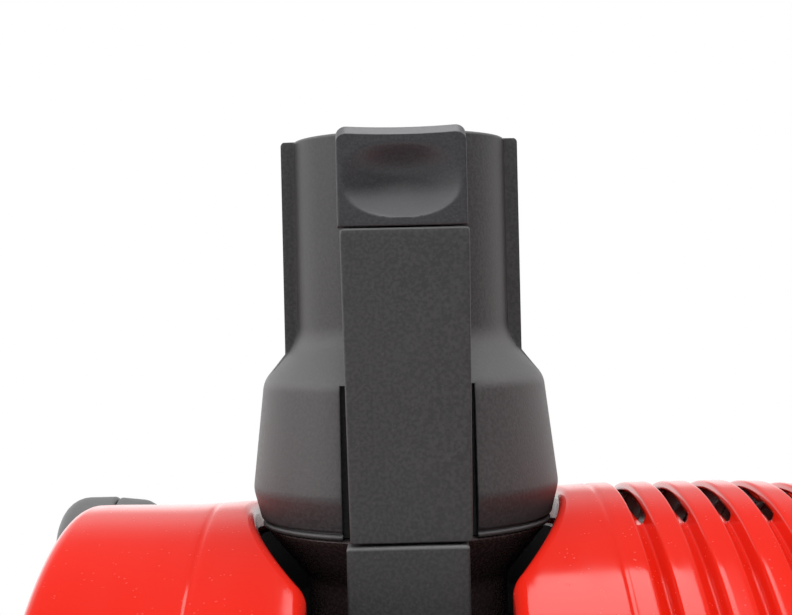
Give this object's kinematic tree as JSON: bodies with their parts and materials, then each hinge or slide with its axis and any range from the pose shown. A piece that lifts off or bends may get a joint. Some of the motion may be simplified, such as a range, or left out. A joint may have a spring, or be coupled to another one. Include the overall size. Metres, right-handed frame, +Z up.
{
  "type": "car dryer blower",
  "caption": "Barrel-shaped car drying blower with a louvred intake end, a swivelling quick-release hose port on top, a carrying handle and a footed cradle.",
  "frame": {"origin": "middle of the object's footprint box, on the floor under the feet", "axes": "+X along the barrel towards the louvred intake end, -Y towards the front with the thumb latch, +Z up along the hose port"},
  "size_m": [0.267, 0.3156, 0.38],
  "materials": {
    "red_plastic": "gloss",
    "black_plastic": "satin",
    "rubber": "matte",
    "steel": "brushed",
    "copper": "satin",
    "carbon": "matte",
    "foam": "matte",
    "circuit_board": "satin",
    "cast_aluminium": "satin"
  },
  "bodies": {
    "blower_body": {"breaker_body": "black_plastic", "brush_back": "carbon", "brush_front": "carbon", "centre_band": "black_plastic", "control_plate": "black_plastic", "cover_stud": "steel", "cradle_base": "black_plastic", "field_coil_left": "copper", "field_coil_right": "copper", "filter_basket": "black_plastic", "filter_cover": "black_plastic", "foam_filter": "foam", "front_bearing": "steel", "handle_bracket_left": "black_plastic", "handle_bracket_right": "black_plastic", "handle_cap_left": "black_plastic", "handle_cap_right": "black_plastic", "inlet_bell": "black_plastic", "left_shell": "red_plastic", "motor_bridge": "black_plastic", "motor_can": "steel", "motor_mount_ring": "rubber", "neck_spine": "black_plastic", "outlet_neck": "black_plastic", "outlet_well": "black_plastic", "port_seal": "rubber", "power_inlet": "black_plastic", "rear_bearing": "steel", "right_shell": "red_plastic", "rubber_foot_back_left": "rubber", "rubber_foot_back_right": "rubber", "rubber_foot_front_left": "rubber", "rubber_foot_front_right": "rubber", "scroll_inlet_half": "black_plastic", "scroll_motor_half": "black_plastic", "speed_board": "circuit_board", "speed_control": "steel", "stator_core": "steel", "switch_housing": "black_plastic"},
    "port": {"port_body": "black_plastic", "latch_cover": "black_plastic", "latch_pin": "steel", "latch_spring": "steel", "port_retaining_ring": "steel"},
    "latch": {"thumb_button": "black_plastic"},
    "handle": {"handle_arm_left": "black_plastic", "handle_arm_right": "black_plastic", "handle_grip": "rubber", "handle_tube": "steel"},
    "rotor": {"motor_shaft": "steel", "armature_core": "steel", "armature_winding_left": "copper", "armature_winding_right": "copper", "commutator": "copper", "impeller": "cast_aluminium", "impeller_nut": "steel"},
    "rocker": {"switch_rocker": "black_plastic"},
    "dial": {"speed_dial": "black_plastic"},
    "reset": {"reset_button": "red_plastic"},
    "knob": {"cover_knob": "black_plastic"}
  },
  "joints": [
    {"name": "port_swivel", "type": "hinge", "parent": "blower_body", "child": "port", "pos_m": [-0.0275, -0.02165, 0.2804], "axis": [0, 0, 1], "range_deg": [-30, 30]},
    {"name": "latch_press", "type": "hinge", "parent": "port", "child": "latch", "pos_m": [-0.0275, -0.05515, 0.3504], "axis": [-1, 0, 0], "range_deg": [0, 8], "stiffness_Nm_per_rad": 1.5, "springref_deg": -2.86, "deforming": ["latch_spring"]},
    {"name": "handle_fold", "type": "hinge", "parent": "blower_body", "child": "handle", "pos_m": [0, 0.04635, 0.2605], "axis": [1, 0, 0], "range_deg": [0, 130]},
    {"name": "rotor_spin", "type": "hinge", "parent": "blower_body", "child": "rotor", "pos_m": [0, -0.02165, 0.152], "axis": [1, 0, 0], "continuous": true},
    {"name": "switch_rock", "type": "hinge", "parent": "blower_body", "child": "rocker", "pos_m": [-0.1133, -0.09565, 0.178], "axis": [0, -1, 0], "range_deg": [0, 16]},
    {"name": "dial_turn", "type": "hinge", "parent": "blower_body", "child": "dial", "pos_m": [-0.1156, -0.09565, 0.126], "axis": [1, 0, 0], "range_deg": [0, 270]},
    {"name": "reset_press", "type": "slide", "parent": "blower_body", "child": "reset", "axis": [1, 0, 0], "range_m": [0, 0.002], "stiffness_N_per_m": 400, "springref_m": -0.001},
    {"name": "cover_knob_turn", "type": "hinge", "parent": "blower_body", "child": "knob", "pos_m": [0.1156, -0.02165, 0.152], "axis": [1, 0, 0], "range_deg": [0, 90]}
  ]
}
